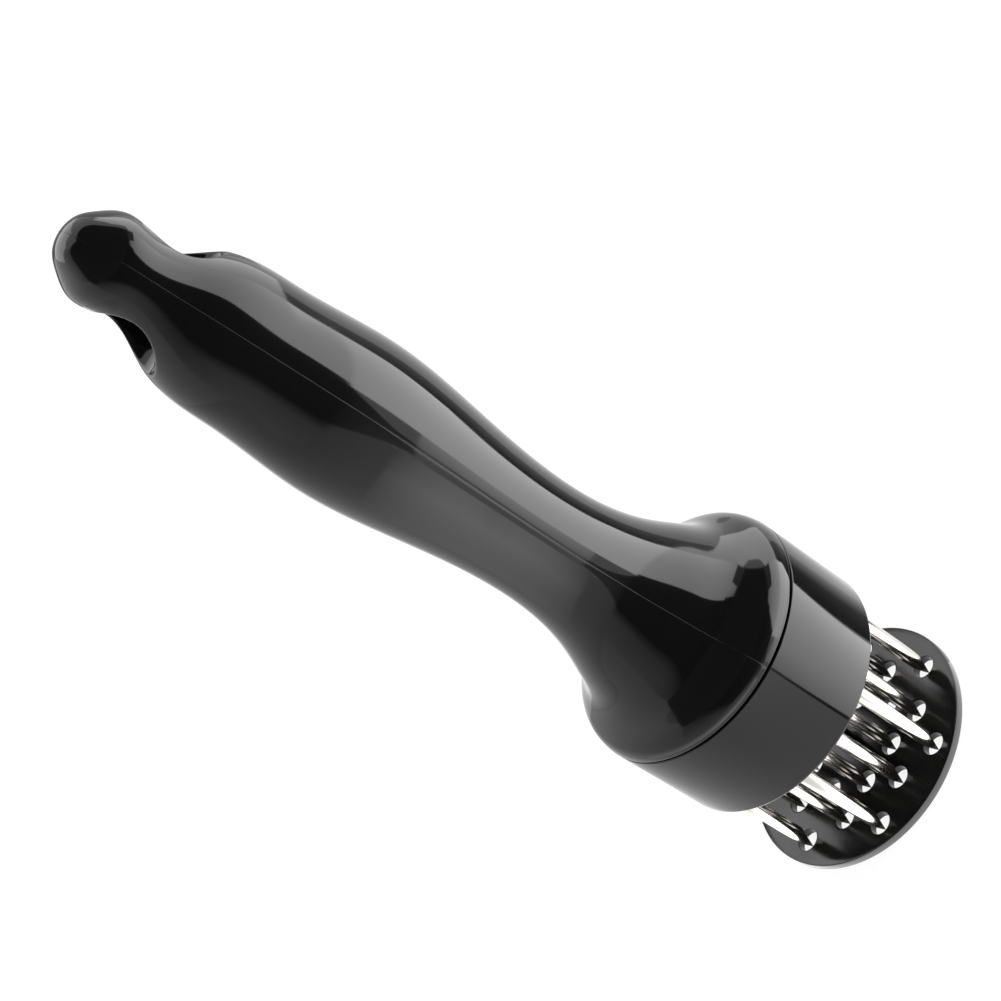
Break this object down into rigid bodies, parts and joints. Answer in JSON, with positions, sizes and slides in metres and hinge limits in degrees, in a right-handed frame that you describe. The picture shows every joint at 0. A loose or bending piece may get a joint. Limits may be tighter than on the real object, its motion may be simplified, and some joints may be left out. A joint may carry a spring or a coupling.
{
  "type": "meat tenderizer",
  "caption": "Round needle meat tenderizer: sprung perforated guard plate over chisel-pointed steel needles, bell head, baluster handle with hang eye.",
  "frame": {"origin": "centre of the guard plate's underside, which is the face the tool stands on", "axes": "+Z along the tool from the guard plate to the end of the handle; the handle's two shells meet on the XZ plane; the hang eye runs along Y"},
  "size_m": [0.055, 0.055, 0.2033],
  "materials": {
    "abs_gloss": "polished moulded ABS",
    "abs_plate": "moulded, lightly textured",
    "nylon": "moulded, matte",
    "acetal": "natural white, turned",
    "stainless": "polished stainless steel",
    "black_steel": "black oxide",
    "spring_steel": "bright drawn wire",
    "rubber": "moulded rubber"
  },
  "bodies": {
    "handle": {"handle_front_shell": "abs_gloss", "handle_back_shell": "abs_gloss", "head_collar": "abs_gloss", "needle_plate": "nylon", "needle_backing_plate": "nylon", "plate_screws": "stainless", "guide_bush": "acetal", "spring_seat": "nylon", "return_spring": "spring_steel", "outer_needle_1": "stainless", "outer_needle_2": "stainless", "outer_needle_3": "stainless", "outer_needle_4": "stainless", "outer_needle_5": "stainless", "outer_needle_6": "stainless", "outer_needle_7": "stainless", "middle_needle_1": "stainless", "middle_needle_2": "stainless", "middle_needle_3": "stainless", "middle_needle_4": "stainless", "middle_needle_5": "stainless", "middle_needle_6": "stainless", "middle_needle_7": "stainless", "inner_needle_1": "stainless", "inner_needle_2": "stainless", "inner_needle_3": "stainless", "inner_needle_4": "stainless", "inner_needle_5": "stainless", "inner_needle_6": "stainless", "inner_needle_7": "stainless"},
    "guard": {"guard_plate": "abs_plate", "guard_screw": "stainless", "plunger_rod": "black_steel", "stop_washer": "rubber", "spring_follower": "acetal", "retaining_clip": "spring_steel"}
  },
  "joints": [
    {"name": "guard_slide", "type": "slide", "parent": "handle", "child": "guard", "axis": [0, 0, 1], "range_m": [0, 0.0265], "stiffness_N_per_m": 400, "springref_m": -0.012, "deforming": ["return_spring"]}
  ]
}
